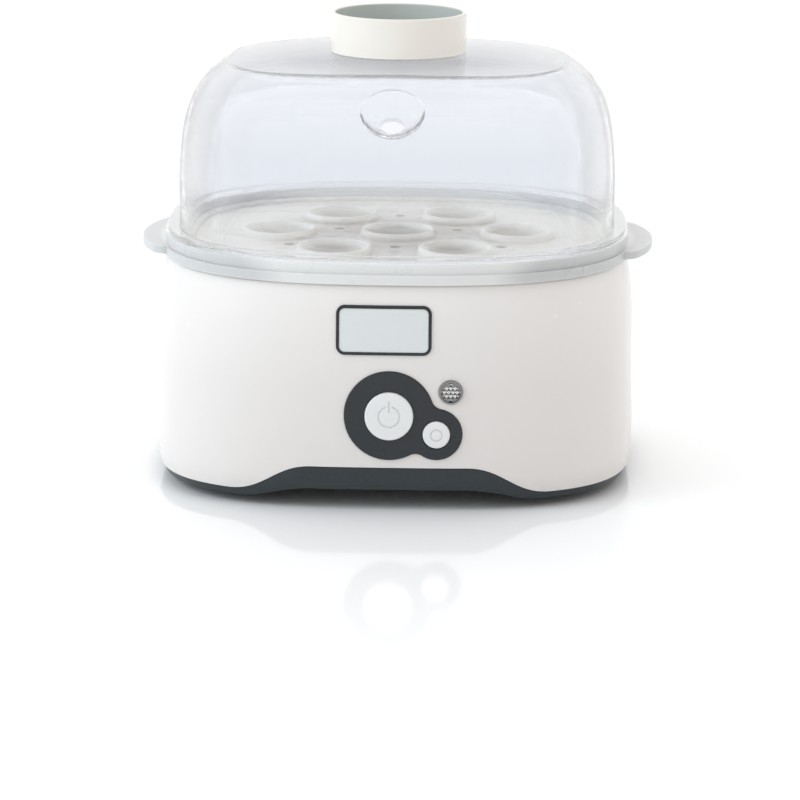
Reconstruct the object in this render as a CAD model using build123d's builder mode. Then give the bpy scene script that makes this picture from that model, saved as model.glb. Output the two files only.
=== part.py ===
"""Seven-seat egg cooker: base with heating pan, egg tray, clear lid and measuring cup.

Millimetres. Origin under the middle of the object, +Z up, front towards -Y. Heights here are
measured from the underbody; finish() raises every piece by FOOT_LIFT onto the rubber feet.
"""
import os
from math import cos, pi, radians, sin, sqrt

from build123d import *

os.makedirs("parts", exist_ok=True)

# ---------------------------------------------------------------- driving dimensions
DEPTH_RATIO = 0.95  # depth over width of every level outline
OVAL_POWER = 2.6  # 2 gives an ellipse, more gives a squarer oval
BASE_POWER = 3.2  # squarer outline of the base's lower edge
OVAL_POINTS = 32

FOOT_LIFT = 3.5  # the table lies this far below height 0
SKIRT_Z = 3.3  # lower edge of the white housing
ARCH_Z = 14.3  # the same edge under the arch
ARCH_FLAT = 31.3  # half width of the arch's level stretch
ARCH_END = 65.0  # half width where the arch meets the skirt
HOUSING_TOP_Z = 88.1
HOUSING_SECTIONS = [  # height, half width, oval power
    (SKIRT_Z, 98.2, BASE_POWER),
    (10.0, 98.9, BASE_POWER),
    (22.0, 99.0, 3.1),
    (55.0, 98.7, 2.85),
    (76.0, 97.7, 2.7),
    (HOUSING_TOP_Z, 95.0, OVAL_POWER),
]
WALL = 2.4

POCKET_HALF = 86.5  # tray pocket in the housing's top
DECK_Z = 80.0  # floor of that pocket
DECK_HOLE_R = 70.0
POST_SPOTS = [(80, 22), (-80, 22), (80, -22), (-80, -22)]
POST_R = 4.0
POST_FOOT_Z = 8.1

BOTTOM_Z = 0.2  # underside between the feet
BOTTOM_ARCH_Z = 5.0  # underside below the arch
FLOOR = 2.2
LIP_TOP_Z = 15.8
LIP_GAP = 0.3
LIP_THICK = 2.0
FOOT_SPOTS = [(68, 52), (-68, 52), (68, -52), (-68, -52)]
FOOT_R = 7.0
FOOT_TOP_Z = 1.4

PAN_R = 75.0
PAN_RIM_Z = 81.0
PAN_BASE_Z = 73.0
PAN_SHEET = 1.4
STUD_SPOTS = [(34 * cos(radians(a)), 34 * sin(radians(a))) for a in (90, 210, 330)]
STUD_R = 2.0
STUD_END_Z = 50.0
HEATER_R = 48.0
HEATER_TUBE_R = 3.2
HEATER_Z = 69.6
HEATER_GAP_DEG = 20.0
SPREADER_Z = 64.4
SHIELD_Z = 54.0

POWER_X, POWER_Z = 0.0, 35.7
MODE_X, MODE_Z = 19.0, 28.2
LENS_X, LENS_Z = 24.6, 45.4
BADGE_X, BADGE_Z = -2.3, 70.3
BADGE_RIM = 1.15  # width of the badge's dark frame
POWER_HOLE_R = 10.1
MODE_HOLE_R = 5.85
BUTTON_GAP = 0.35
FRONT_Y = -96.2  # foremost face, on the power button
BEZEL_BACK_Y = -88.6
COLLAR_FRONT_Y = -88.3
COLLAR_BACK_Y = -87.1
BOARD_FRONT_Y = -72.0
BOARD_THICK = 1.6
CORD_Z = 24.0  # height of the cord's inlet in the rear wall

TRAY_Z = 88.4
EAR_TOP_Z = 92.4
TRAY_TOP_Z = 97.0
TRAY_FLOOR_Z = 91.6
TRAY_HALF = 97.2
EAR_REACH = 106.5
EAR_HALF_WIDE = 35.0
EAR_Z = 89.2
SEAT_PITCH = 50.0
SEAT_ROW = 38.5
SEAT_SPOTS = [(0, 0), (SEAT_PITCH, 0), (-SEAT_PITCH, 0)] + [
    (x * SEAT_PITCH / 2, y * SEAT_ROW) for x in (-1, 1) for y in (-1, 1)
]
SEAT_TOP_Z = 94.4
SEAT_HOLE_R = 10.2
STEAM_HOLE_R = 2.4

LID_Z = 97.3
LID_FLANGE_HALF = 95.2
LID_WALL = 2.0
LID_SECTIONS = [  # height, half width, half depth
    (LID_Z, 91.4, 86.8),
    (121.0, 90.6, 86.0),
    (137.0, 89.3, 84.4),
    (146.0, 87.4, 82.0),
    (154.0, 84.0, 77.8),
    (161.0, 78.4, 71.0),
    (167.0, 70.0, 60.6),
    (172.0, 60.0, 49.0),
]
LID_TOP_Z = 169.8
LID_DOME_R = 846.0
DOME_RIM_R = 2.5  # rounding where the dome meets the sides
SCOOP_R = 14.0
SCOOP_Y, SCOOP_Z = -81.5, 161.0
SCOOP_TILT = 31.0  # lean of the steam hole's axis from upright
STEAM_VENT_R = 5.0

CUP_Z = 169.7
CUP_TOP_Z = 186.0
CUP_R = 28.0
CUP_WALL = 1.8
CUP_FLOOR_Z = 175.2

FRONT = Plane((0, 0, 0), x_dir=(1, 0, 0), z_dir=(0, -1, 0))  # sketches seen from the front


# ---------------------------------------------------------------- shared shapes
def signed_power(value, power):
    """Power of the value's size, with the value's own sign."""
    return abs(value) ** power * (1 if value >= 0 else -1)


def oval(height, half_width, half_depth=None, power=OVAL_POWER):
    """Level squared-oval face."""
    half_depth = half_depth or half_width * DEPTH_RATIO
    turns = [2 * pi * i / OVAL_POINTS for i in range(OVAL_POINTS)]
    corners = [
        (half_width * signed_power(cos(t), 2 / power), half_depth * signed_power(sin(t), 2 / power))
        for t in turns
    ]
    with BuildSketch(Plane.XY.offset(height), mode=Mode.PRIVATE) as plan:
        with BuildLine():
            Spline(corners, periodic=True)
        make_face()
    return plan.sketch


def oval_prism(low, high, half_width):
    """Upright squared-oval block between two heights."""
    with BuildPart(mode=Mode.PRIVATE) as block:
        extrude(oval(low, half_width), high - low)
    return block.part


def housing_body(inset, low=SKIRT_Z, high=HOUSING_TOP_Z):
    """Solid inside the housing's outer wall, set in by the inset and cut to two heights."""
    with BuildPart(mode=Mode.PRIVATE) as body:
        loft([oval(z, half - inset, half * DEPTH_RATIO - inset, p) for z, half, p in HOUSING_SECTIONS])
        split(bisect_by=Plane.XY.offset(high), keep=Keep.BOTTOM)
        split(bisect_by=Plane.XY.offset(low), keep=Keep.TOP)
    return body.part


def below_arch(flat_z, end_z):
    """Everything under a front-to-back arch whose edge falls from flat_z to end_z."""
    side, low = 120, -5
    with BuildPart(mode=Mode.PRIVATE) as block:
        with BuildSketch(FRONT):
            with BuildLine():
                Polyline((-side, end_z), (-side, low), (side, low), (side, end_z), (ARCH_END, end_z))
                Spline((ARCH_END, end_z), (ARCH_FLAT, flat_z), tangents=[(-1, 0), (-1, 0)])
                Line((ARCH_FLAT, flat_z), (-ARCH_FLAT, flat_z))
                Spline((-ARCH_FLAT, flat_z), (-ARCH_END, end_z), tangents=[(-1, 0), (-1, 0)])
                Line((-ARCH_END, end_z), (-side, end_z))
            make_face()
        extrude(amount=side, both=True)
    return block.part


def rod(start, end, radius):
    """Plain round bar between two points."""
    axis = Vector(*end) - Vector(*start)
    with BuildPart(mode=Mode.PRIVATE) as bar:
        with BuildSketch(Plane(start, z_dir=axis)):
            Circle(radius)
        extrude(amount=axis.length)
    return bar.part


def front_prism(sketch, near_y, far_y):
    """Extrude a sketch on the FRONT plane between two depths."""
    with BuildPart(mode=Mode.PRIVATE) as block:
        extrude(sketch.moved(Location((0, far_y, 0))), far_y - near_y, dir=(0, -1, 0))
    return block.part


def wire(points, radius):
    """Insulated wire through the given points."""
    with BuildPart(mode=Mode.PRIVATE) as lead:
        with BuildLine() as route:
            Spline(points)
        with BuildSketch(Plane(route.line @ 0, z_dir=route.line % 0)):
            Circle(radius)
        sweep(path=route.line)
    return lead.part


def coil_spring(x, z, near_y, far_y, mean_r, wire_r, turns):
    """Compression spring round a button's stem, its axis along Y."""
    length = far_y - near_y - 2 * wire_r
    with BuildPart(mode=Mode.PRIVATE) as spring:
        with BuildLine() as path:
            Helix(length / turns, length, mean_r, center=(x, near_y + wire_r, z), direction=(0, 1, 0))
        with BuildSketch(Plane(path.line @ 0, z_dir=path.line % 0)):
            Circle(wire_r)
        sweep(path=path.line, is_frenet=True)
    return spring.part


def finish(piece, name):
    """Raise the piece onto the feet, label it and write its STEP file."""
    raised = piece.moved(Location((0, 0, FOOT_LIFT)))
    raised.label = name
    export_step(raised, f"parts/{name}.step")


# ---------------------------------------------------------------- panel outlines
def bezel_outline(grow=0.0):
    """Figure-eight outline of the control bezel."""
    big_r, small_r, waist_r = 18.1, 10.4, 5.0
    with BuildSketch(FRONT, mode=Mode.PRIVATE) as outline:
        with Locations((POWER_X, POWER_Z)):
            Circle(big_r + grow)
        with Locations((MODE_X, MODE_Z)):
            Circle(small_r + grow)
        fillet(outline.vertices().sort_by(Axis.X)[:2], waist_r - grow)
    return outline.sketch


def badge_outline(grow=0.0):
    """Rounded rectangle round the badge."""
    with BuildSketch(FRONT, mode=Mode.PRIVATE) as outline:
        with Locations((BADGE_X, BADGE_Z)):
            RectangleRounded(38.0 + 2 * grow, 19.8 + 2 * grow, 3.4 + grow)
    return outline.sketch


def front_disc(x, z, radius):
    """Round outline on the front."""
    with BuildSketch(FRONT, mode=Mode.PRIVATE) as outline:
        with Locations((x, z)):
            Circle(radius)
    return outline.sketch


# ---------------------------------------------------------------- base housing
BOARD_SPOTS = [(-27, 20), (-27, 52), (42, 20), (42, 52)]
BOARD_BOSS_R = 3.2
BOARD_SCREW_R = 1.2
BUSH_R = 6.0

with BuildPart() as base_housing:
    add(housing_body(0))
    fillet(base_housing.edges().group_by(Axis.Z)[-1], 1.4)
    add(housing_body(WALL, high=HOUSING_TOP_Z - WALL), mode=Mode.SUBTRACT)
    add(oval_prism(DECK_Z - WALL, HOUSING_TOP_Z - 1.0, POCKET_HALF + WALL))
    add(oval_prism(DECK_Z, HOUSING_TOP_Z + 1, POCKET_HALF), mode=Mode.SUBTRACT)
    with Locations((0, 0, DECK_Z)):
        Cylinder(DECK_HOLE_R, 4 * WALL, mode=Mode.SUBTRACT)
    with Locations([(x, y, POST_FOOT_Z) for x, y in POST_SPOTS]):
        Cylinder(POST_R, DECK_Z - 1 - POST_FOOT_Z, align=(Align.CENTER, Align.CENTER, Align.MIN))
        Cylinder(1.5, 14, align=(Align.CENTER, Align.CENTER, Align.MIN), mode=Mode.SUBTRACT)
    for x, z in BOARD_SPOTS:
        add(front_prism(front_disc(x, z, BOARD_BOSS_R), -100, BOARD_FRONT_Y - 0.1) & housing_body(WALL / 2))
        add(front_prism(front_disc(x, z, BOARD_SCREW_R + 0.05), -82, BOARD_FRONT_Y), mode=Mode.SUBTRACT)
    add(front_prism(bezel_outline(0.1), -100, -80), mode=Mode.SUBTRACT)
    add(front_prism(front_disc(LENS_X, LENS_Z, 4.95), -100, -80), mode=Mode.SUBTRACT)
    add(front_prism(badge_outline(0.1), -100, -80) - housing_body(0.6), mode=Mode.SUBTRACT)
    add(rod((0, 80, CORD_Z), (0, 100, CORD_Z), BUSH_R + 0.1), mode=Mode.SUBTRACT)
    add(below_arch(ARCH_Z, SKIRT_Z), mode=Mode.SUBTRACT)
finish(base_housing.part, "base_housing")

# ---------------------------------------------------------------- dark underbody
BOTTOM_SCREW_R = 1.45
BAND_SECTIONS = [(BOTTOM_Z, 96.4), (SKIRT_Z, 97.8), (ARCH_Z, 98.4)]  # height, half width


def bottom_band():
    """Outer band that fills the housing's arch from below."""
    with BuildPart(mode=Mode.PRIVATE) as band:
        loft([oval(z, half, power=BASE_POWER) for z, half in BAND_SECTIONS])
        add(below_arch(ARCH_Z - 0.2, SKIRT_Z - 0.2), mode=Mode.INTERSECT)
    return band.part


def bottom_hollow():
    """Space inside the underbody, down to its stepped floor."""
    with BuildPart(mode=Mode.PRIVATE) as hollow:
        add(oval_prism(BOTTOM_Z, SKIRT_Z, 93.0))
        add(housing_body(WALL + LIP_GAP + LIP_THICK))
        add(below_arch(BOTTOM_ARCH_Z + FLOOR, BOTTOM_Z + FLOOR), mode=Mode.SUBTRACT)
    return hollow.part


with BuildPart() as base_bottom:
    add(bottom_band())
    add(oval_prism(SKIRT_Z - 1, SKIRT_Z + 0.1, 95.3))
    add(housing_body(WALL + LIP_GAP, high=LIP_TOP_Z))
    add(bottom_hollow(), mode=Mode.SUBTRACT)
    add(below_arch(BOTTOM_ARCH_Z, BOTTOM_Z - 0.5), mode=Mode.SUBTRACT)
    with Locations([(x, y, BOTTOM_Z) for x, y in POST_SPOTS]):
        Cylinder(5.4, POST_FOOT_Z - 0.2 - BOTTOM_Z, align=(Align.CENTER, Align.CENTER, Align.MIN))
        Cylinder(2.0, 10, align=(Align.CENTER, Align.CENTER, Align.MIN), mode=Mode.SUBTRACT)
        Cylinder(3.7, 4.4, align=(Align.CENTER, Align.CENTER, Align.MIN), mode=Mode.SUBTRACT)
    with Locations([(x, y, 0) for x, y in FOOT_SPOTS]):
        Cylinder(FOOT_R + 0.1, FOOT_TOP_Z, align=(Align.CENTER, Align.CENTER, Align.MIN), mode=Mode.SUBTRACT)
    with BuildSketch(Plane.XY):
        with GridLocations(8, 1, 7, 1):
            SlotOverall(36, 3, rotation=90)
    extrude(amount=12, mode=Mode.SUBTRACT)
    with Locations([(x, 74, BOTTOM_ARCH_Z + 1) for x in (-9, 9)]):
        Cylinder(3.4, CORD_Z - BOTTOM_ARCH_Z - 1, align=(Align.CENTER, Align.CENTER, Align.MIN))
    with Locations([(x, 74, CORD_Z - 12) for x in (-9, 9)]):
        Cylinder(1.35, 12, align=(Align.CENTER, Align.CENTER, Align.MIN), mode=Mode.SUBTRACT)
finish(base_bottom.part, "base_bottom")

with BuildPart() as rubber_feet:
    with Locations([(x, y, -FOOT_LIFT) for x, y in FOOT_SPOTS]):
        Cylinder(FOOT_R, FOOT_LIFT + FOOT_TOP_Z, align=(Align.CENTER, Align.CENTER, Align.MIN))
    fillet(rubber_feet.edges().group_by(Axis.Z)[0], 0.4)
finish(rubber_feet.part, "rubber_feet")

with BuildPart() as bottom_screws:
    with Locations([(x, y, BOTTOM_Z + 2.4) for x, y in POST_SPOTS]):
        Cylinder(3.3, 2.0, align=(Align.CENTER, Align.CENTER, Align.MIN))
        Cylinder(BOTTOM_SCREW_R, 16, align=(Align.CENTER, Align.CENTER, Align.MIN))
        Box(0.9, 4.4, 1.6, mode=Mode.SUBTRACT)
        Box(4.4, 0.9, 1.6, mode=Mode.SUBTRACT)
finish(bottom_screws.part, "bottom_screws")

# ---------------------------------------------------------------- heating group
with BuildPart() as heating_plate:
    with BuildSketch(Plane.XZ):
        with BuildLine():
            Polyline(
                (0, PAN_BASE_Z),
                (63, PAN_BASE_Z),
                (67.6, PAN_RIM_Z),
                (PAN_R, PAN_RIM_Z),
                (PAN_R, PAN_RIM_Z + PAN_SHEET),
                (66.6, PAN_RIM_Z + PAN_SHEET),
                (62, PAN_BASE_Z + PAN_SHEET),
                (0, PAN_BASE_Z + PAN_SHEET),
                close=True,
            )
        make_face()
    revolve(axis=Axis.Z)
    with Locations([(x, y, STUD_END_Z) for x, y in STUD_SPOTS]):
        Cylinder(STUD_R, PAN_BASE_Z + 0.5 - STUD_END_Z, align=(Align.CENTER, Align.CENTER, Align.MIN))
finish(heating_plate.part, "heating_plate")

with BuildPart() as plate_seal:
    with BuildSketch(Plane.XZ):
        with BuildLine():
            Polyline(
                (68.4, DECK_Z - 3.4),
                (69.9, DECK_Z - 3.4),
                (69.9, DECK_Z + 0.05),
                (PAN_R + 0.8, DECK_Z + 0.05),
                (PAN_R + 0.8, PAN_RIM_Z - 0.05),
                (68.4, PAN_RIM_Z - 0.05),
                close=True,
            )
        make_face()
    revolve(axis=Axis.Z)
finish(plate_seal.part, "plate_seal")

HEATER_END_X = HEATER_R * sin(radians(HEATER_GAP_DEG / 2))
HEATER_END_Y = HEATER_R * cos(radians(HEATER_GAP_DEG / 2))
HEATER_ENDS = [(-HEATER_END_X, HEATER_END_Y), (HEATER_END_X, HEATER_END_Y)]
HEATER_TIP_Z = 48.0

with BuildPart() as heater_element:
    with BuildLine() as ring:
        CenterArc((0, 0, HEATER_Z), HEATER_R, 90 + HEATER_GAP_DEG / 2, 360 - HEATER_GAP_DEG)
    with BuildSketch(Plane(ring.line @ 0, z_dir=ring.line % 0)):
        Circle(HEATER_TUBE_R)
    sweep(path=ring.line)
    with Locations([(x, y, HEATER_Z) for x, y in HEATER_ENDS]):
        Sphere(HEATER_TUBE_R)
        Cylinder(HEATER_TUBE_R, HEATER_Z - 58, align=(Align.CENTER, Align.CENTER, Align.MAX))
        Cylinder(1.2, HEATER_Z - HEATER_TIP_Z, align=(Align.CENTER, Align.CENTER, Align.MAX))
finish(heater_element.part, "heater_element")

with BuildPart() as heat_spreader:
    with BuildSketch(Plane.XY.offset(SPREADER_Z)):
        Circle(56)
        Circle(12, mode=Mode.SUBTRACT)
        with Locations(STUD_SPOTS):
            Circle(STUD_R + 0.3, mode=Mode.SUBTRACT)
        with Locations(HEATER_ENDS):
            Circle(HEATER_TUBE_R + 0.6, mode=Mode.SUBTRACT)
    extrude(amount=1.6)
finish(heat_spreader.part, "heat_spreader")

with BuildPart() as heat_shield:
    with Locations((0, 0, SHIELD_Z)):
        Cone(61, 63.2, 6, align=(Align.CENTER, Align.CENTER, Align.MIN))
    with Locations((0, 0, SHIELD_Z + 0.8)):
        Cone(60.2, 62.4, 6, align=(Align.CENTER, Align.CENTER, Align.MIN), mode=Mode.SUBTRACT)
    with BuildSketch(Plane.XY.offset(SHIELD_Z)):
        with Locations(STUD_SPOTS):
            Circle(STUD_R + 0.3)
        with Locations(HEATER_ENDS):
            Circle(HEATER_TUBE_R + 1.2)
    extrude(amount=3, both=True, mode=Mode.SUBTRACT)
finish(heat_shield.part, "heat_shield")

with BuildPart() as plate_nuts:
    for nut_z in (SPREADER_Z - 2.6, SHIELD_Z - 2.6):
        with BuildSketch(Plane.XY.offset(nut_z)):
            with Locations(STUD_SPOTS):
                RegularPolygon(4.0, 6)
                Circle(STUD_R + 0.04, mode=Mode.SUBTRACT)
        extrude(amount=2.5)
finish(plate_nuts.part, "plate_nuts")

with BuildPart() as thermostat:
    with Locations((0, 0, PAN_BASE_Z - 0.1)):
        Cylinder(8.2, 5, align=(Align.CENTER, Align.CENTER, Align.MAX))
        Cylinder(6.8, 9, align=(Align.CENTER, Align.CENTER, Align.MAX))
    with Locations([(0, y, 67.4) for y in (-10, 10)]):
        Box(4, 8, 0.8)
finish(thermostat.part, "thermostat")

with BuildPart() as thermostat_clip:
    with Locations((0, 0, 62.9)):
        Box(44, 9, 0.8, align=(Align.CENTER, Align.CENTER, Align.MIN))
    with Locations([(x, 0, 62.9) for x in (-21, 21)]):
        Box(3, 9, 1.4, align=(Align.CENTER, Align.CENTER, Align.MIN))
finish(thermostat_clip.part, "thermostat_clip")

with BuildPart() as thermal_fuse:
    add(rod((-6, -26, 61.6), (6, -26, 61.6), 2.1))
    add(rod((-15, -26, 61.6), (15, -26, 61.6), 0.5))
finish(thermal_fuse.part, "thermal_fuse")

# ---------------------------------------------------------------- control panel
with BuildPart() as control_bezel:
    add(front_prism(bezel_outline(), -100, BEZEL_BACK_Y) & housing_body(-0.9, low=0))
    fillet(control_bezel.faces().sort_by(Axis.Y)[0].edges(), 0.5)
    add(front_prism(bezel_outline(1.5), BEZEL_BACK_Y - 0.8, BEZEL_BACK_Y))
    add(front_prism(front_disc(POWER_X, POWER_Z, POWER_HOLE_R), -100, -80), mode=Mode.SUBTRACT)
    add(front_prism(front_disc(MODE_X, MODE_Z, MODE_HOLE_R), -100, -80), mode=Mode.SUBTRACT)
finish(control_bezel.part, "control_bezel")

with BuildPart() as badge_frame:
    add(front_prism(badge_outline() - badge_outline(-BADGE_RIM), -100, -80) & housing_body(-0.7, low=0))
    add(housing_body(0.5, low=0), mode=Mode.SUBTRACT)
finish(badge_frame.part, "badge_frame")

with BuildPart() as badge_plate:
    add(front_prism(badge_outline(-BADGE_RIM - 0.05), -100, -80) & housing_body(-0.45, low=0))
    add(housing_body(0.5, low=0), mode=Mode.SUBTRACT)
finish(badge_plate.part, "badge_plate")


def push_button(x, z, cap_r, face_y, collar_r, stem_r, stem_y):
    """Cap, hidden collar that keeps it in the bezel, and stem."""
    with BuildPart(mode=Mode.PRIVATE) as button:
        add(rod((x, COLLAR_FRONT_Y, z), (x, face_y, z), cap_r))
        fillet(button.edges().group_by(Axis.Y)[0], 0.7)
        add(rod((x, COLLAR_FRONT_Y, z), (x, COLLAR_BACK_Y, z), collar_r))
        add(rod((x, COLLAR_BACK_Y, z), (x, stem_y, z), stem_r))
    return button.part


POWER_TRAVEL = 2.0
MODE_TRAVEL = 1.2
STEM_GAP = 0.3
POWER_SWITCH_Y = -78.9
MODE_SWITCH_Y = -80.0
MODE_FACE_Y = -95.3
SYMBOL_DEPTH = 0.4

with BuildPart() as power_button:
    add(push_button(POWER_X, POWER_Z, POWER_HOLE_R - BUTTON_GAP, FRONT_Y, 11.0, 2.4,
                    POWER_SWITCH_Y - STEM_GAP - POWER_TRAVEL))
    with BuildSketch(FRONT.offset(-FRONT_Y - SYMBOL_DEPTH)):
        with Locations((POWER_X, POWER_Z)):
            Circle(4.5)
            Circle(3.9, mode=Mode.SUBTRACT)
        with Locations((POWER_X, POWER_Z + 4)):
            Rectangle(2.4, 4, mode=Mode.SUBTRACT)
            Rectangle(0.6, 4.4)
    extrude(amount=1, mode=Mode.SUBTRACT)
finish(power_button.part, "power_button")

with BuildPart() as mode_button:
    add(push_button(MODE_X, MODE_Z, MODE_HOLE_R - BUTTON_GAP, MODE_FACE_Y, 6.8, 1.6,
                    MODE_SWITCH_Y - STEM_GAP - MODE_TRAVEL))
    with BuildSketch(FRONT.offset(-MODE_FACE_Y - SYMBOL_DEPTH)):
        with Locations((MODE_X, MODE_Z)):
            Circle(2.5)
            Circle(2.0, mode=Mode.SUBTRACT)
    extrude(amount=1, mode=Mode.SUBTRACT)
finish(mode_button.part, "mode_button")

with BuildPart() as power_spring:
    add(coil_spring(POWER_X, POWER_Z, COLLAR_BACK_Y + 0.1, POWER_SWITCH_Y - 0.1, 3.9, 0.35, 5))
finish(power_spring.part, "power_spring")

with BuildPart() as mode_spring:
    add(coil_spring(MODE_X, MODE_Z, COLLAR_BACK_Y + 0.1, MODE_SWITCH_Y - 0.1, 2.7, 0.25, 5))
finish(mode_spring.part, "mode_spring")

with BuildPart() as lens_ring:
    add(front_prism(front_disc(LENS_X, LENS_Z, 4.85), -94.1, -88.9))
    add(front_prism(front_disc(LENS_X, LENS_Z, 5.4), -88.9, -88.2))
    add(front_prism(front_disc(LENS_X, LENS_Z, 4.1), -100, -80), mode=Mode.SUBTRACT)
finish(lens_ring.part, "lens_ring")

with BuildPart() as indicator_lens:
    add(front_prism(front_disc(LENS_X, LENS_Z, 4.05), -94.4, -91.6))
    for groove in range(-2, 3):
        with BuildSketch(FRONT.offset(94.4)):
            with Locations((LENS_X, LENS_Z + 1.8 * groove)):
                Rectangle(9, 0.5)
        extrude(amount=-0.4, mode=Mode.SUBTRACT)
finish(indicator_lens.part, "indicator_lens")

with BuildPart() as indicator_lamp:
    add(rod((LENS_X, -84.5, LENS_Z), (LENS_X, -88.8, LENS_Z), 2.5))
    with Locations((LENS_X, -88.8, LENS_Z)):
        Sphere(2.5)
    add(rod((LENS_X, -84.5, LENS_Z), (LENS_X, -83.5, LENS_Z), 3.0))
    for lead_x in (LENS_X - 1.3, LENS_X + 1.3):
        add(rod((lead_x, -84, LENS_Z), (lead_x, BOARD_FRONT_Y - 0.05, LENS_Z), 0.3))
finish(indicator_lamp.part, "indicator_lamp")

with BuildPart() as control_board:
    with BuildSketch(FRONT.offset(-BOARD_FRONT_Y)):
        with Locations((7.5, 36)):
            RectangleRounded(78, 41, 2)
        with Locations(BOARD_SPOTS):
            Circle(BOARD_SCREW_R + 0.4, mode=Mode.SUBTRACT)
    extrude(amount=-BOARD_THICK)
finish(control_board.part, "control_board")

BOARD_BACK_Y = BOARD_FRONT_Y + BOARD_THICK

with BuildPart() as board_screws:
    for x, z in BOARD_SPOTS:
        add(rod((x, BOARD_BACK_Y + 0.05, z), (x, BOARD_BACK_Y + 1.8, z), 2.7))
        add(rod((x, BOARD_BACK_Y + 0.05, z), (x, -81, z), BOARD_SCREW_R))
finish(board_screws.part, "board_screws")

with BuildPart() as power_switch:
    with Locations((POWER_X, (POWER_SWITCH_Y + BOARD_FRONT_Y) / 2, POWER_Z)):
        Box(15, BOARD_FRONT_Y - POWER_SWITCH_Y - 0.1, 15)
    fillet(power_switch.edges().filter_by(Axis.Y), 1)
finish(power_switch.part, "power_switch")

with BuildPart() as mode_switch:
    with Locations((MODE_X, (MODE_SWITCH_Y + BOARD_FRONT_Y) / 2, MODE_Z)):
        Box(7, BOARD_FRONT_Y - MODE_SWITCH_Y - 0.1, 7)
    fillet(mode_switch.edges().filter_by(Axis.Y), 0.5)
finish(mode_switch.part, "mode_switch")

with BuildPart() as buzzer:
    add(rod((-19, BOARD_FRONT_Y - 0.1, 34), (-19, BOARD_FRONT_Y - 7, 34), 6))
    add(rod((-19, BOARD_FRONT_Y - 4, 34), (-19, BOARD_FRONT_Y - 9, 34), 1), mode=Mode.SUBTRACT)
finish(buzzer.part, "buzzer")

# ---------------------------------------------------------------- mains side
BLOCK_Y = 45.0
BLOCK_TOP_Z = 21.0
FLOOR_TOP_Z = BOTTOM_ARCH_Z + FLOOR

with BuildPart() as terminal_block:
    with Locations((0, BLOCK_Y, FLOOR_TOP_Z + 0.1)):
        Box(34, 14, BLOCK_TOP_Z - FLOOR_TOP_Z - 0.1, align=(Align.CENTER, Align.CENTER, Align.MIN))
    with Locations([(x, BLOCK_Y, BLOCK_TOP_Z) for x in (-11, 0, 11)]):
        Cylinder(2.2, 5, align=(Align.CENTER, Align.CENTER, Align.MAX), mode=Mode.SUBTRACT)
    for x in (-11, 0, 11):
        add(rod((x, BLOCK_Y - 10, 14), (x, BLOCK_Y + 10, 14), 1.5), mode=Mode.SUBTRACT)
finish(terminal_block.part, "terminal_block")

with BuildPart() as cord_bush:
    add(rod((0, 88, CORD_Z), (0, -FRONT_Y, CORD_Z), BUSH_R))
    add(rod((0, 94.2, CORD_Z), (0, -FRONT_Y, CORD_Z), 8.4))
    fillet(cord_bush.edges().group_by(Axis.Y)[-1], 0.8)
    add(rod((0, 88, CORD_Z), (0, 90.8, CORD_Z), 7.6))
    add(rod((0, 80, CORD_Z), (0, 100, CORD_Z), 3.5), mode=Mode.SUBTRACT)
finish(cord_bush.part, "cord_bush")

with BuildPart() as cord_clamp:
    with Locations((0, 74, CORD_Z + 0.1)):
        Box(26, 8, 4.6, align=(Align.CENTER, Align.CENTER, Align.MIN))
    fillet(cord_clamp.edges().filter_by(Axis.Z), 2)
    add(rod((0, 60, CORD_Z), (0, 88, CORD_Z), 3.6), mode=Mode.SUBTRACT)
    with Locations([(x, 74, CORD_Z) for x in (-9, 9)]):
        Cylinder(1.6, 20, mode=Mode.SUBTRACT)
finish(cord_clamp.part, "cord_clamp")

with BuildPart() as clamp_screws:
    with Locations([(x, 74, CORD_Z + 4.8) for x in (-9, 9)]):
        Cylinder(2.8, 1.8, align=(Align.CENTER, Align.CENTER, Align.MIN))
        Cylinder(1.3, 13, align=(Align.CENTER, Align.CENTER, Align.MAX))
finish(clamp_screws.part, "clamp_screws")

with BuildPart() as heater_wires:
    for (x, y), port in zip(HEATER_ENDS, (-11, 11)):
        add(wire([(x, y, HEATER_TIP_Z - 1), (x * 1.2, y + 4, 36), (port, BLOCK_Y, BLOCK_TOP_Z + 0.8)], 1.3))
finish(heater_wires.part, "heater_wires")

with BuildPart() as board_wires:
    for start_x, port in ((-10, -11), (0, 0)):
        add(wire([(start_x, BOARD_BACK_Y + 0.6, 22), (start_x - 4, -40, 26), (port - 3, 10, 16),
                  (port, BLOCK_Y - 6, 14)], 1.0))
finish(board_wires.part, "board_wires")

# ---------------------------------------------------------------- egg tray
STEAM_SPOTS = [
    (reach * SEAT_PITCH / sqrt(3) * cos(radians(a)), reach * SEAT_ROW * 2 / 3 * sin(radians(a)))
    for a in range(30, 360, 60)
    for reach in (1, 1.75)
]

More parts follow.
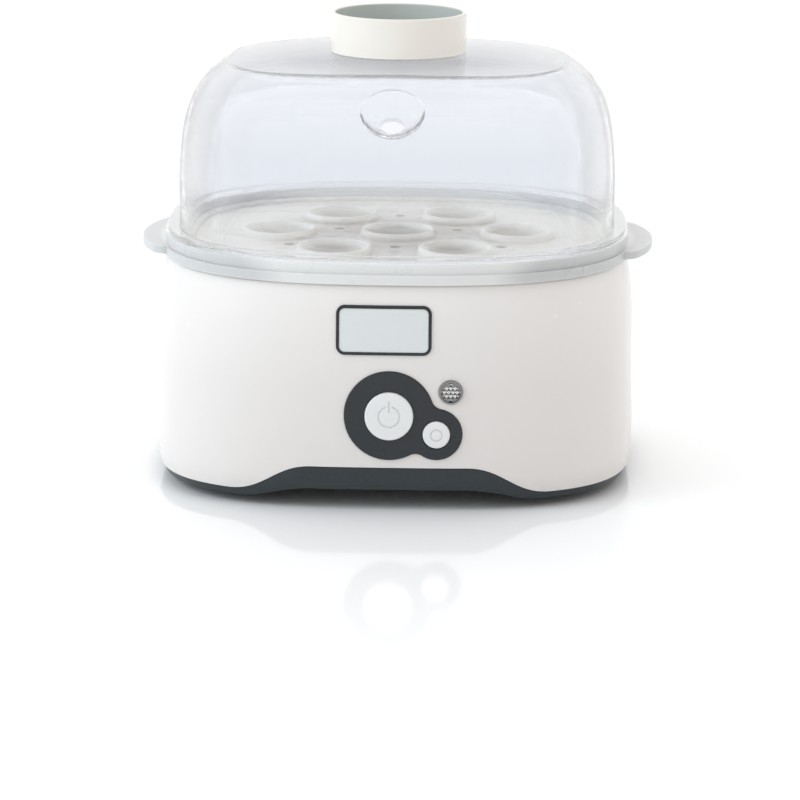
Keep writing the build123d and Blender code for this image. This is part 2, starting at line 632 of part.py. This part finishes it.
with BuildPart() as egg_tray:
    add(oval_prism(TRAY_Z, EAR_TOP_Z, TRAY_HALF))
    with BuildSketch(Plane.XY.offset(EAR_Z)) as ears:
        for side in (1, -1):
            with BuildLine():
                Polyline((side * 98, -EAR_HALF_WIDE), (side * 70, -EAR_HALF_WIDE), (side * 70, EAR_HALF_WIDE),
                         (side * 98, EAR_HALF_WIDE))
                ThreePointArc((side * 98, EAR_HALF_WIDE), (side * EAR_REACH, 0), (side * 98, -EAR_HALF_WIDE))
            make_face()
        fillet(ears.vertices().sort_by(Axis.X)[:2] + ears.vertices().sort_by(Axis.X)[-2:], 7)
    extrude(amount=EAR_TOP_Z - EAR_Z)
    add(oval_prism(EAR_TOP_Z, TRAY_TOP_Z, 96.2))
    add(oval_prism(TRAY_FLOOR_Z + 1.3, TRAY_TOP_Z + 1, 90.8), mode=Mode.SUBTRACT)
    add(oval_prism(TRAY_FLOOR_Z, TRAY_TOP_Z, 86.0), mode=Mode.SUBTRACT)
    add(oval_prism(84.0, TRAY_Z + 1, 85.0))
    add(oval_prism(83.0, TRAY_Z + 1, 83.2), mode=Mode.SUBTRACT)
    with Locations([(x, y, TRAY_FLOOR_Z - 0.5) for x, y in SEAT_SPOTS]):
        Cone(16.2, 15.0, SEAT_TOP_Z - TRAY_FLOOR_Z + 0.5, align=(Align.CENTER, Align.CENTER, Align.MIN))
    with Locations([(x, y, TRAY_Z + 0.6) for x, y in SEAT_SPOTS]):
        Cone(SEAT_HOLE_R, 14.2, SEAT_TOP_Z - TRAY_Z - 0.6, align=(Align.CENTER, Align.CENTER, Align.MIN),
             mode=Mode.SUBTRACT)
    with Locations([(x, y, TRAY_FLOOR_Z) for x, y in SEAT_SPOTS]):
        Cylinder(SEAT_HOLE_R, 12, mode=Mode.SUBTRACT)
    with Locations([(x, y, TRAY_FLOOR_Z) for x, y in STEAM_SPOTS]):
        Cylinder(STEAM_HOLE_R, 8, mode=Mode.SUBTRACT)
finish(egg_tray.part, "egg_tray")


# ---------------------------------------------------------------- lid
def lid_body(inset):
    """Solid inside the lid's outer skin, set in along the skin's own slope."""
    sections = []
    for i, (z, half_width, half_depth) in enumerate(LID_SECTIONS):
        above = LID_SECTIONS[min(i + 1, len(LID_SECTIONS) - 1)]
        below = LID_SECTIONS[max(i - 1, 0)]
        slope = Vector(above[1] - below[1], above[0] - below[0]).normalized()
        sections.append((z + inset * slope.X, half_width - inset * slope.Y, half_depth - inset * slope.Y))
    with BuildPart(mode=Mode.PRIVATE) as body:
        loft([oval(*section) for section in sections])
        with Locations((0, 0, LID_TOP_Z - LID_DOME_R)):
            Sphere(LID_DOME_R - inset, mode=Mode.INTERSECT)
        fillet(body.edges().sort_by(Axis.Z)[-2], DOME_RIM_R)
    return body.part


SCOOP_CENTER = (0, SCOOP_Y, SCOOP_Z)
VENT_REACH = SCOOP_R + 2 * LID_WALL
VENT_END = (
    0,
    SCOOP_Y + VENT_REACH * sin(radians(SCOOP_TILT)),
    SCOOP_Z - VENT_REACH * cos(radians(SCOOP_TILT)),
)
SCOOP_MOUTH = (0, SCOOP_Y - SCOOP_R, SCOOP_Z - SCOOP_R)  # below the scoop's opening in the skin


def scoop_wall():
    """Ball-shaped wall of the steam scoop, kept inside the lid's skin."""
    with BuildPart(mode=Mode.PRIVATE) as scoop:
        with Locations(SCOOP_CENTER):
            Sphere(SCOOP_R + LID_WALL)
        add(lid_body(0.4), mode=Mode.INTERSECT)
    return scoop.part


with BuildPart() as lid:
    add(lid_body(0))
    add(oval_prism(LID_Z, LID_Z + 2.0, LID_FLANGE_HALF))
    add(oval_prism(93.5, LID_Z + 0.5, 90.2))
    add(lid_body(LID_WALL) + oval_prism(92.5, LID_Z + 0.6, 88.4), mode=Mode.SUBTRACT)
    add(scoop_wall())
    with Locations(SCOOP_CENTER):
        Sphere(SCOOP_R, mode=Mode.SUBTRACT)
    add(rod(SCOOP_CENTER, VENT_END, STEAM_VENT_R), mode=Mode.SUBTRACT)
    fillet(lid.edges().sort_by_distance(SCOOP_MOUTH)[0], 0.6)
finish(lid.part, "lid")

# ---------------------------------------------------------------- measuring cup
PIN_R = 0.7
PIN_TIP_Z = 170.9

with BuildPart() as measuring_cup:
    with Locations((0, 0, CUP_Z)):
        Cone(CUP_R, CUP_R + 0.3, CUP_TOP_Z - CUP_Z, align=(Align.CENTER, Align.CENTER, Align.MIN))
    with Locations((0, 0, CUP_FLOOR_Z + CUP_WALL)):
        Cone(CUP_R - CUP_WALL, CUP_R + 0.3 - CUP_WALL, 30, align=(Align.CENTER, Align.CENTER, Align.MIN),
             mode=Mode.SUBTRACT)
    fillet(measuring_cup.edges().group_by(Axis.Z)[-1], 0.8)
    with Locations((0, 0, CUP_Z)):
        Cylinder(CUP_R - CUP_WALL, CUP_FLOOR_Z - CUP_Z, align=(Align.CENTER, Align.CENTER, Align.MIN),
                 mode=Mode.SUBTRACT)
    with Locations((0, 0, CUP_FLOOR_Z + 1)):
        Cylinder(3.0, 3.4, align=(Align.CENTER, Align.CENTER, Align.MIN))
    with Locations((0, 0, CUP_Z)):
        Cylinder(PIN_R, CUP_FLOOR_Z + 3.0 - CUP_Z, align=(Align.CENTER, Align.CENTER, Align.MIN),
                 mode=Mode.SUBTRACT)
finish(measuring_cup.part, "measuring_cup")

with BuildPart() as piercing_pin:
    with Locations((0, 0, PIN_TIP_Z)):
        Cone(0.1, PIN_R, 1.8, align=(Align.CENTER, Align.CENTER, Align.MIN))
    with Locations((0, 0, PIN_TIP_Z + 1.8)):
        Cylinder(PIN_R, CUP_FLOOR_Z + 3.0 - PIN_TIP_Z - 1.8, align=(Align.CENTER, Align.CENTER, Align.MIN))
finish(piercing_pin.part, "piercing_pin")
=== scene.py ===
"""Looks of the egg cooker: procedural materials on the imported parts, pale studio and camera."""

import math

import bmesh
import bpy
from mathutils import Matrix, Vector


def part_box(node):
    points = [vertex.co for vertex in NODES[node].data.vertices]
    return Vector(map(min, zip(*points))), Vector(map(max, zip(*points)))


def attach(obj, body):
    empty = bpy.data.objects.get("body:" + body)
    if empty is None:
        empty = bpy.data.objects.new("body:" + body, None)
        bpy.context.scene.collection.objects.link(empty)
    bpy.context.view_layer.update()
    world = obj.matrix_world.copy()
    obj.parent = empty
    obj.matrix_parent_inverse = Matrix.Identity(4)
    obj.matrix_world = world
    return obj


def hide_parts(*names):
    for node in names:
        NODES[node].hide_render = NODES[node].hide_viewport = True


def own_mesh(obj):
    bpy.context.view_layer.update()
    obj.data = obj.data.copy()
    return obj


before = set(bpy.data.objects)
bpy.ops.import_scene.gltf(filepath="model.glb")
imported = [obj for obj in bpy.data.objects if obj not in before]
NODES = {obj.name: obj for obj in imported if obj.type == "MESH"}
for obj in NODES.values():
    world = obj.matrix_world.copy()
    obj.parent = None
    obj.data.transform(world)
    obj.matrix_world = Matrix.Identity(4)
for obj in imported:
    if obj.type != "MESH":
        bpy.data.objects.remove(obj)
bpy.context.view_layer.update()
PICTURE_PX = 800  # width of the picture that the camera's lens is set for

# Where a finish, a painted light or a painted shade changes: an axis with the start and end of the
# change along it, in metres
HOUSING_TOP_LIGHT = ("Z", 0.05, 0.09)
HOUSING_SKIRT = ("Z", 0.0145, 0.0065)
LID_DOME = ("Z", 0.1695, 0.1725)
LID_DOME_FRONT = ("Y", 0.05, -0.03)
LID_SHOULDER = ("Z", 0.14, 0.162)
LID_FRONT = ("Y", 0.0, -0.03)
LID_WALL_TOP = ("Z", 0.17, 0.155)
LID_WALL_FOOT = ("Z", 0.1, 0.108)
TRAY_BACK_LIGHT = ("Y", 0.065, 0.08)
TRAY_FLOOR = ("Z", 0.0968, 0.0952)
CUP_FLOOR = ("Z", 0.178, 0.1787)

# The same, as start and end of the distance from the upright axis, in metres
TRAY_EARS_SHADE = (0.0975, 0.1)
TRAY_WELL = (0.088, 0.084)
TRAY_MIDDLE_SHADE = (0.062, 0.028)
CUP_BORE = (0.02655, 0.02635)
PAN_BED = (0.067, 0.055)


# ---------------------------------------------------------------- material kit
def set_range(ramp, start, end, low, high):
    """Sets a Map Range node to take start..end to low..high."""
    for socket, value in (("From Min", start), ("From Max", end), ("To Min", low), ("To Max", high)):
        ramp.inputs[socket].default_value = value


class Surface:
    """A Principled material that is built up one layer of detail at a time."""

    def __init__(self, name, color, roughness, **sockets):
        self.material = bpy.data.materials.new(name)
        self.material.use_nodes = True
        self.tree = self.material.node_tree
        self.shader = self.tree.nodes["Principled BSDF"]
        self.shader.inputs["Base Color"].default_value = (*color, 1.0)
        self.shader.inputs["Roughness"].default_value = roughness
        for socket, value in sockets.items():
            self.shader.inputs[socket.replace("_", " ")].default_value = value
        self.height = None
        self.paint = None

    def node(self, kind, **settings):
        """Adds a node and sets its own settings, such as its operation."""
        made = self.tree.nodes.new(kind)
        for key, value in settings.items():
            setattr(made, key, value)
        return made

    def link(self, out, into):
        self.tree.links.new(out, into)

    def noise(self, scale, detail=3.0, stretch=(1, 1, 1)):
        """Noise in object space; scale is in features per metre."""
        place = self.node("ShaderNodeTexCoord")
        mapping = self.node("ShaderNodeMapping")
        mapping.inputs["Scale"].default_value = stretch
        field = self.node("ShaderNodeTexNoise")
        field.inputs["Scale"].default_value = scale
        field.inputs["Detail"].default_value = detail
        self.link(place.outputs["Object"], mapping.inputs["Vector"])
        self.link(mapping.outputs["Vector"], field.inputs["Vector"])
        return field.outputs["Fac"]

    def spread(self, fac, low, high, start=0.25, end=0.75):
        """Maps a 0-1 field to a range of values."""
        ramp = self.node("ShaderNodeMapRange")
        set_range(ramp, start, end, low, high)
        self.link(fac, ramp.inputs["Value"])
        return ramp.outputs["Result"]

    def vary_roughness(self, scale, low, high, stretch=(1, 1, 1)):
        """Lets the roughness drift between two values in soft patches."""
        field = self.spread(self.noise(scale, 4.0, stretch), low, high)
        self.link(field, self.shader.inputs["Roughness"])
        return self

    def tint(self, fac, other):
        """Mixes the colour towards another one where the 0-1 field says so."""
        mix = self.node("ShaderNodeMix", data_type="RGBA")
        if self.paint:
            self.link(self.paint, mix.inputs["A"])
        else:
            mix.inputs["A"].default_value = self.shader.inputs["Base Color"].default_value
        mix.inputs["B"].default_value = (*other, 1.0)
        self.link(fac, mix.inputs["Factor"])
        self.paint = mix.outputs["Result"]
        self.link(self.paint, self.shader.inputs["Base Color"])
        return self

    def vary_color(self, scale, other, amount=1.0, stretch=(1, 1, 1)):
        """Lets the colour drift towards another one in soft patches."""
        return self.tint(self.spread(self.noise(scale, 3.0, stretch), 0.0, amount), other)

    def along(self, axis, start, end):
        """0-1 field that rises between two positions on an object axis, in metres."""
        place = self.node("ShaderNodeTexCoord")
        parts = self.node("ShaderNodeSeparateXYZ")
        self.link(place.outputs["Object"], parts.inputs["Vector"])
        return self.spread(parts.outputs[axis], 0.0, 1.0, start, end)

    def around(self, start, end):
        """0-1 field that rises between two distances from the upright axis, in metres."""
        place = self.node("ShaderNodeTexCoord")
        flat = self.node("ShaderNodeVectorMath", operation="MULTIPLY")
        flat.inputs[1].default_value = (1, 1, 0)
        size = self.node("ShaderNodeVectorMath", operation="LENGTH")
        self.link(place.outputs["Object"], flat.inputs[0])
        self.link(flat.outputs["Vector"], size.inputs[0])
        return self.spread(size.outputs["Value"], 0.0, 1.0, start, end)

    def times(self, one, other):
        """0-1 field that is high only where both fields are."""
        product = self.node("ShaderNodeMath", operation="MULTIPLY")
        self.link(one, product.inputs[0])
        self.link(other, product.inputs[1])
        return product.outputs["Value"]

    def bump(self, scale, height, detail=3.0, stretch=(1, 1, 1)):
        """Adds a relief of the given height in metres."""
        relief = self.node("ShaderNodeBump")
        relief.inputs["Distance"].default_value = height
        self.link(self.noise(scale, detail, stretch), relief.inputs["Height"])
        if self.height:
            self.link(self.height, relief.inputs["Normal"])
        self.height = relief.outputs["Normal"]
        self.link(self.height, self.shader.inputs["Normal"])
        return self


def dress(surface, *nodes):
    """Gives CAD nodes a finished material."""
    for name in nodes:
        for slot in NODES[name].material_slots:
            slot.link = "OBJECT"
            slot.material = surface.material


# ---------------------------------------------------------------- materials
def gloss_white(name, color):
    """Polished injection-moulded ABS: faint orange peel and slight handling haze."""
    surface = Surface(name, color, 0.24, Coat_Weight=0.2, Coat_Roughness=0.08, IOR=1.48)
    surface.vary_roughness(25, 0.21, 0.28)
    surface.vary_color(14, tuple(c * 0.985 for c in color))
    surface.vary_color(1600, tuple(c * 0.985 for c in color))
    return surface.bump(60, 0.00002, 1.0).bump(2400, 0.000003)


def housing_plastic():
    """Housing white, with painted light making it paler towards the top, and darker in soft patches at
    the skirt.
    """
    surface = gloss_white("housing_white", (0.765, 0.73, 0.705))
    # painted light: paler tint over the upper housing
    surface.tint(surface.along(*HOUSING_TOP_LIGHT), (0.815, 0.785, 0.762))
    # darker in soft patches towards the bottom of the skirt
    low_band = surface.along(*HOUSING_SKIRT)
    skirt = surface.times(low_band, surface.spread(surface.noise(150), 0.0, 0.5))
    return surface.tint(skirt, (0.6, 0.585, 0.57))


def dark_plastic(name, color, roughness, coat=0.0):
    """Spark-eroded dark plastic: fine even grain."""
    surface = Surface(
        name, color, roughness, Specular_IOR_Level=0.32, Coat_Weight=coat, Coat_Roughness=0.1,
    )
    surface.vary_roughness(120, roughness - 0.06, roughness + 0.08)
    surface.vary_color(40, tuple(c * 1.2 for c in color))
    surface.vary_color(900, tuple(c * 1.5 for c in color), 0.5)
    return surface.bump(3500, 0.000012)


def brushed_metal(name, color, roughness, stretch):
    """Rolled or turned metal with fine streaks."""
    surface = Surface(name, color, roughness, Metallic=1.0)
    surface.vary_roughness(300, roughness - 0.08, roughness + 0.1, stretch)
    surface.vary_color(90, tuple(c * 0.82 for c in color))
    return surface.bump(1500, 0.000008, stretch=stretch)


def pan_metal():
    """Heating pan: polished steel with the lime haze that boiling leaves in its middle."""
    surface = brushed_metal("pan_steel", (0.6, 0.6, 0.59), 0.3, (1, 1, 1))
    haze = surface.times(surface.around(*PAN_BED), surface.spread(surface.noise(70, 5.0), 0.0, 0.6))
    return surface.tint(haze, (0.74, 0.72, 0.68))


def clear_plastic():
    """Thin clear plastic with a cool tint; painted reflections make it paler near its outlines and on
    the front shoulder and greyer on the front of the dome, and painted shade makes the outlines of its
    walls darkest.
    """
    surface = Surface(
        "lid_clear", (0.8, 0.817, 0.855), 0.02,
        Transmission_Weight=1.0, IOR=1.22, Alpha=0.8,
    )
    surface.vary_roughness(30, 0.012, 0.03)
    weight = surface.node("ShaderNodeLayerWeight")
    weight.inputs["Blend"].default_value = 0.5
    facing = weight.outputs["Facing"]
    dome = surface.times(surface.along(*LID_DOME), surface.along(*LID_DOME_FRONT))
    # painted reflection: paler colour next to the outlines
    surface.tint(surface.spread(facing, 0.0, 1.0, 0.3, 0.6), (0.97, 0.97, 0.97))
    # painted highlight: paler colour on the front shoulder
    shoulder = surface.times(surface.along(*LID_SHOULDER), surface.along(*LID_FRONT))
    surface.tint(shoulder, (0.9, 0.915, 0.945))
    # painted dark reflection: greyer colour on the front of the dome
    surface.tint(dome, (0.3, 0.315, 0.365))
    # painted shade: near-black colour along the outlines of the walls
    wall = surface.times(surface.along(*LID_WALL_TOP), surface.along(*LID_WALL_FOOT))
    outline = surface.times(surface.spread(facing, 0.0, 1.0, 0.84, 0.92), wall)
    surface.tint(outline, (0.03, 0.034, 0.04))
    return surface.bump(14, 0.00004, 1.0)


def milky_plastic():
    """Milky polypropylene, a little yellowed in the well; painted shade darkens the ears and the well's
    floor and greys it most between the seats, and painted light brightens the back wall.
    """
    surface = Surface(
        "tray_milky", (0.735, 0.735, 0.728), 0.3,
        Subsurface_Weight=0.35, Subsurface_Scale=0.004, Subsurface_Radius=(1.0, 1.0, 0.95),
    )
    surface.vary_roughness(80, 0.26, 0.36)
    surface.vary_color(22, (0.72, 0.722, 0.712))
    # painted shade: darker colour on the ears
    surface.tint(surface.around(*TRAY_EARS_SHADE), (0.56, 0.565, 0.565))
    well = surface.around(*TRAY_WELL)
    surface.tint(well, (0.86, 0.84, 0.79))
    # painted light: paler colour on the back wall of the well
    surface.tint(surface.along(*TRAY_BACK_LIGHT), (0.83, 0.82, 0.79))
    # painted shade: darker colour on the floor of the well
    floor_shade = surface.times(well, surface.along(*TRAY_FLOOR))
    surface.tint(floor_shade, (0.82, 0.79, 0.74))
    # painted shade: greyest colour between the seats
    surface.tint(surface.times(floor_shade, surface.around(*TRAY_MIDDLE_SHADE)), (0.56, 0.525, 0.485))
    return surface.bump(1800, 0.000008).bump(60, 0.00002)


def cup_plastic():
    """White polypropylene cup, grey-green inside its bore."""
    surface = gloss_white("cup_white", (0.83, 0.79, 0.728))
    inside = surface.times(surface.around(*CUP_BORE), surface.along(*CUP_FLOOR))
    return surface.tint(inside, (0.5, 0.53, 0.505))


def rubber(name, color):
    """Moulded rubber or silicone with a dry, slightly pitted skin."""
    surface = Surface(name, color, 0.7)
    surface.vary_roughness(200, 0.6, 0.8)
    surface.vary_color(90, tuple(c * 1.4 for c in color))
    return surface.bump(2600, 0.00003)


def circuit_board():
    """Green laminate with the woven glass showing faintly."""
    surface = Surface("board_green", (0.03, 0.16, 0.07), 0.35, Coat_Weight=0.4)
    surface.vary_color(500, (0.05, 0.22, 0.10), stretch=(1, 1, 6))
    return surface.bump(1400, 0.00002, stretch=(6, 1, 1))


def lens_plastic(name, color):
    """Clear lens plastic with the silvered look of a prism that mirrors the light."""
    surface = Surface(name, color, 0.12, Metallic=0.7)
    surface.vary_roughness(400, 0.08, 0.18)
    return surface.bump(900, 0.000004)


def dress_nodes():
    """Gives every carried-over CAD node its finished material."""
    dress(housing_plastic(), "base_housing")
    dress(gloss_white("button_white", (0.785, 0.79, 0.788)), "power_button", "mode_button")
    dress(cup_plastic(), "measuring_cup")
    dress(dark_plastic("base_dark", (0.026, 0.032, 0.036), 0.36), "base_bottom")
    dress(dark_plastic("bezel_dark", (0.015, 0.018, 0.021), 0.28, 0.25), "control_bezel", "badge_frame")
    dress(dark_plastic("phenolic_black", (0.02, 0.02, 0.02), 0.5),
          "thermostat", "power_switch", "mode_switch", "buzzer", "cord_clamp")
    dress(dark_plastic("block_cream", (0.62, 0.58, 0.45), 0.45), "terminal_block")
    dress(gloss_white("badge_plate", (0.7, 0.73, 0.722)), "badge_plate")
    dress(milky_plastic(), "egg_tray")
    dress(clear_plastic(), "lid")
    dress(rubber("rubber_dark", (0.02, 0.02, 0.022)), "rubber_feet", "cord_bush")
    dress(rubber("seal_silicone", (0.55, 0.55, 0.52)), "plate_seal")
    dress(rubber("wire_sleeve", (0.6, 0.6, 0.56)), "heater_wires", "board_wires", "thermal_fuse")
    dress(pan_metal(), "heating_plate")
    dress(brushed_metal("heater_sheath", (0.32, 0.31, 0.3), 0.45, (1, 1, 1)), "heater_element")
    dress(brushed_metal("aluminium_plain", (0.75, 0.75, 0.76), 0.35, (8, 1, 1)),
          "heat_spreader", "heat_shield")
    dress(brushed_metal("steel_zinc", (0.62, 0.63, 0.64), 0.35, (1, 1, 1)),
          "bottom_screws", "plate_nuts", "thermostat_clip", "power_spring", "mode_spring",
          "board_screws", "clamp_screws")
    dress(brushed_metal("pin_steel", (0.72, 0.72, 0.72), 0.2, (1, 1, 4)), "piercing_pin")
    dress(brushed_metal("lens_ring", (0.28, 0.28, 0.28), 0.2, (1, 1, 1)), "lens_ring")
    lamp = Surface("lamp_clear", (0.16, 0.16, 0.16), 0.2, Coat_Weight=0.4)
    lamp.vary_roughness(200, 0.15, 0.3)
    dress(lamp.bump(800, 0.00001), "indicator_lamp")
    dress(circuit_board(), "control_board")


# ---------------------------------------------------------------- detailed pieces
def skin(mesh, rings):
    """Closes the first and last ring and joins each ring to the next one."""
    sides = len(rings[0])
    mesh.faces.new(rings[0])
    mesh.faces.new(list(reversed(rings[-1])))
    for front, back in zip(rings, rings[1:]):
        for i in range(sides):
            j = (i + 1) % sides
            mesh.faces.new((front[i], back[i], back[j], front[j]))


def as_object(name, mesh):
    """Turns a finished bmesh into an object in the scene."""
    data = bpy.data.meshes.new(name)
    mesh.to_mesh(data)
    mesh.free()
    made = bpy.data.objects.new(name, data)
    bpy.context.collection.objects.link(made)
    return made


def prism_lens():
    """Indicator lens with rows of small pyramids on its face, in place of the grooved disc."""
    low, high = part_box("indicator_lens")
    middle_x, middle_z = (low[0] + high[0]) / 2, (low[2] + high[2]) / 2
    radius = (high[0] - low[0]) / 2
    pitch, peak, sides = 0.00165, 0.0008, 64
    half = pitch * 0.47
    row_pitch = pitch * 0.95
    tip_rise = half * 0.35
    chamfer, chamfer_share = 0.0003, 0.97
    lift = 0.00002  # the pyramids' feet stand this far in front of the disc
    face_y = low[1] + peak
    mesh = bmesh.new()
    rings = [
        [mesh.verts.new((middle_x + r * math.cos(t), y, middle_z + r * math.sin(t)))
         for t in (2 * math.pi * i / sides for i in range(sides))]
        for r, y in ((radius * chamfer_share, face_y), (radius, face_y + chamfer), (radius, high[1]))
    ]
    skin(mesh, rings)
    for row in range(-2, 3):
        for column in range(-3, 4):
            x, z = (column + 0.5 * (row % 2)) * pitch, row * row_pitch
            if math.hypot(x, z) > radius - pitch * 0.4:
                continue
            corners = [
                mesh.verts.new((middle_x + x + a * half, face_y - lift, middle_z + z + b * half))
                for a, b in ((-1, -1), (1, -1), (1, 1), (-1, 1))
            ]
            tip = mesh.verts.new((middle_x + x, low[1], middle_z + z + tip_rise))
            mesh.faces.new(corners)
            for i in range(4):
                mesh.faces.new((corners[i], tip, corners[(i + 1) % 4]))
    bmesh.ops.recalc_face_normals(mesh, faces=mesh.faces)
    for face in mesh.faces:
        if face.normal.z < -0.3:
            face.material_index = 1  # painted shade: the undersides of the pyramids get a dark copy of the lens material
        elif len(face.verts) == sides:
            face.material_index = 2  # painted shade: the disc between the pyramids gets a darker copy
    lens = as_object("prism_lens", mesh)
    # Lit and shaded copies of one lens material: painted light on the other faces, painted shade on the
    # undersides and on the disc.
    for name, color in (("lens_lit", (0.85, 0.85, 0.83)), ("lens_shaded", (0.09, 0.09, 0.09)),
                        ("lens_valley_shade", (0.22, 0.22, 0.22))):
        lens.data.materials.append(lens_plastic(name, color).material)
    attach(lens, "base")
    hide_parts("indicator_lens")


def coil(node, wire, turns=5, steps=28, sides=8):
    """Return spring drawn as a wire coil, in place of the stiff CAD spring; on the cooker it shortens
    as its button goes in.
    """
    low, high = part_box(node)
    middle_x, middle_z = (low[0] + high[0]) / 2, (low[2] + high[2]) / 2
    length = high[1] - low[1]
    mean = (high[0] - low[0]) / 2 - wire
    mesh = bmesh.new()
    rings = []
    for step in range(turns * steps + 1):
        turn = 2 * math.pi * step / steps
        y = low[1] + wire + (length - 2 * wire) * step / (turns * steps)
        ring = []
        for side in range(sides):
            angle = 2 * math.pi * side / sides
            reach = mean + wire * math.cos(angle)
            ring.append(mesh.verts.new((middle_x + reach * math.cos(turn), y + wire * math.sin(angle),
                                        middle_z + reach * math.sin(turn))))
        rings.append(ring)
    skin(mesh, rings)
    bmesh.ops.recalc_face_normals(mesh, faces=mesh.faces)
    for face in mesh.faces:
        face.smooth = True
    spring = as_object(node + "_coil", mesh)
    spring.data.materials.append(NODES[node].data.materials[0])
    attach(spring, "base")
    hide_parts(node)
    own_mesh(spring)


# ---------------------------------------------------------------- studio
def floor():
    """Plain pale glossy table."""
    bpy.ops.mesh.primitive_plane_add(size=30, location=(0, 0, 0))
    table = bpy.context.object
    table.name = "studio_floor"
    surface = Surface("studio_floor", (0.97, 0.97, 0.97), 0.08, IOR=1.25)
    surface.vary_roughness(3, 0.06, 0.09)
    table.data.materials.append(surface.material)


def soft_light(name, place, aim, width, depth, power, color=(1, 1, 1)):
    """Area light that lights surfaces but isn't seen in them."""
    lamp = bpy.data.lights.new(name, "AREA")
    lamp.shape = "RECTANGLE"
    lamp.size, lamp.size_y = width, depth
    lamp.energy = power
    lamp.color = color
    holder = bpy.data.objects.new(name, lamp)
    bpy.context.collection.objects.link(holder)
    holder.location = place
    holder.rotation_euler = (Vector(aim) - Vector(place)).to_track_quat("-Z", "Y").to_euler()
    holder.visible_glossy = False
    holder.visible_transmission = False


def studio():
    """White sweep behind the object, dimmer room in front of it, cool soft key from the left."""
    world = bpy.data.worlds.new("studio")
    bpy.context.scene.world = world
    world.use_nodes = True
    tree = world.node_tree
    sky = tree.nodes["Background"]
    place = tree.nodes.new("ShaderNodeTexCoord")
    parts = tree.nodes.new("ShaderNodeSeparateXYZ")
    ramp = tree.nodes.new("ShaderNodeMapRange")
    set_range(ramp, start=-1.0, end=0.3, low=0.84, high=1.02)
    tree.links.new(place.outputs["Generated"], parts.inputs["Vector"])
    tree.links.new(parts.outputs["Y"], ramp.inputs["Value"])
    tree.links.new(ramp.outputs["Result"], sky.inputs["Strength"])
    sky.inputs["Color"].default_value = (1, 1, 1, 1)
    soft_light("key_left", place=(-1.0, -0.45, 0.6), aim=(0, 0, 0.08), width=0.6, depth=0.9,
               power=5.4, color=(0.76, 0.89, 1.0))
    soft_light("sweep", place=(0, 3.6, 2.6), aim=(0, 2.4, 0), width=5, depth=2.4, power=60)
    scene = bpy.context.scene
    scene.view_settings.view_transform = "Standard"
    scene.view_settings.look = "None"
    floor()


def camera():
    """Long lens, a little above the object and slightly to its right."""
    distance, rise, turn = 1.706, math.radians(10.35), math.radians(1.8)
    lens_px, aim_x, aim_z, roll = 4068.0, 0.0015, 0.0244, math.radians(0.4)
    pivot_z = 0.0985  # height of the point that distance, rise and turn are measured round
    level = distance * math.cos(rise)
    eye = Vector((level * math.sin(turn), -level * math.cos(turn), pivot_z + distance * math.sin(rise)))
    shot = bpy.data.cameras.new("camera")
    shot.sensor_width = 36.0
    shot.lens = lens_px / PICTURE_PX * shot.sensor_width
    holder = bpy.data.objects.new("camera", shot)
    bpy.context.collection.objects.link(holder)
    holder.location = eye
    look = (Vector((aim_x, 0, aim_z)) - eye).to_track_quat("-Z", "Y")
    holder.rotation_euler = (look.to_matrix().to_4x4() @ Matrix.Rotation(roll, 4, "Z")).to_euler()
    bpy.context.scene.camera = holder


dress_nodes()
NODES["lid"].visible_shadow = False  # clear plastic: the eggs' tray is lit through it
NODES["lid"].visible_diffuse = False
prism_lens()
coil("power_spring", wire=0.00035)
coil("mode_spring", wire=0.00025)
studio()
camera()
